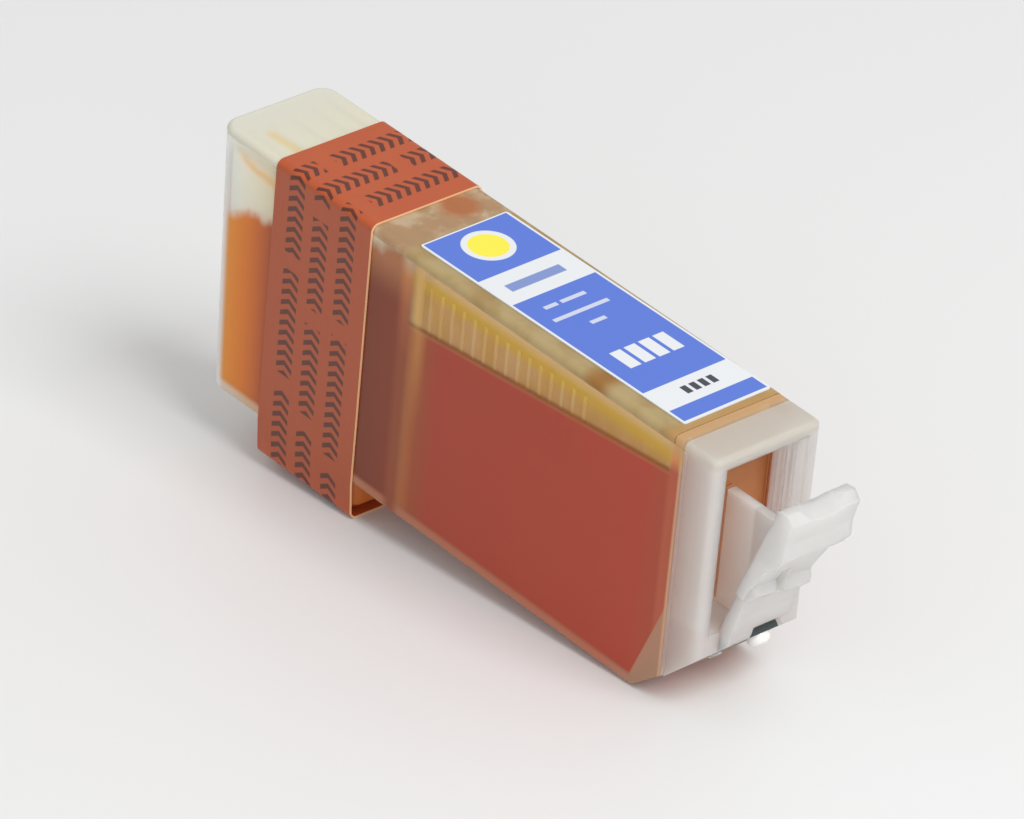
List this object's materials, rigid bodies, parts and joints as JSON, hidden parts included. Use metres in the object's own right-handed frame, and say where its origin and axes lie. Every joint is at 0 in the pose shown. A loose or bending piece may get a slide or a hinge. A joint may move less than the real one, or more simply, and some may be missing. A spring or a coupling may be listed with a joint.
{
  "type": "inkjet ink cartridge",
  "caption": "Narrow frosted inkjet ink tank with a sponge chamber, an ink chamber, a front latch lever, a chip, a top label and a transport cap held by a pull tape.",
  "frame": {"origin": "on the outlet's axis, in the plane of the lowest face, the tape under the transport cap", "axes": "+X along the case towards the latch lever, +Y across the case, +Z from the outlet up to the label"},
  "size_m": [0.089, 0.0155, 0.0374],
  "materials": {
    "frosted_case": "frosted, translucent",
    "dry_sponge": "open-cell foam, dry",
    "wet_sponge": "open-cell foam, soaked",
    "ink": "liquid, wet",
    "felt": "soaked felt",
    "cap_plastic": "satin",
    "seal_rubber": "matt",
    "orange_tape": "satin film",
    "label_film": "printed film",
    "plug_rubber": "matt",
    "board": "solder mask",
    "gold": "plated",
    "resin": "glossy",
    "lamp": "clear resin"
  },
  "bodies": {
    "root": {"tank_body": "frosted_case", "top_lid": "frosted_case", "sponge_upper": "dry_sponge", "sponge_lower": "wet_sponge", "ink_fill": "ink", "outlet_felt": "felt", "transport_cap": "cap_plastic", "cap_seal": "seal_rubber", "pull_tape": "orange_tape", "top_label": "label_film", "fill_plug": "plug_rubber", "chip_board": "board", "chip_contacts": "gold", "chip_capsule": "resin", "chip_led": "lamp"}
  },
  "joints": []
}
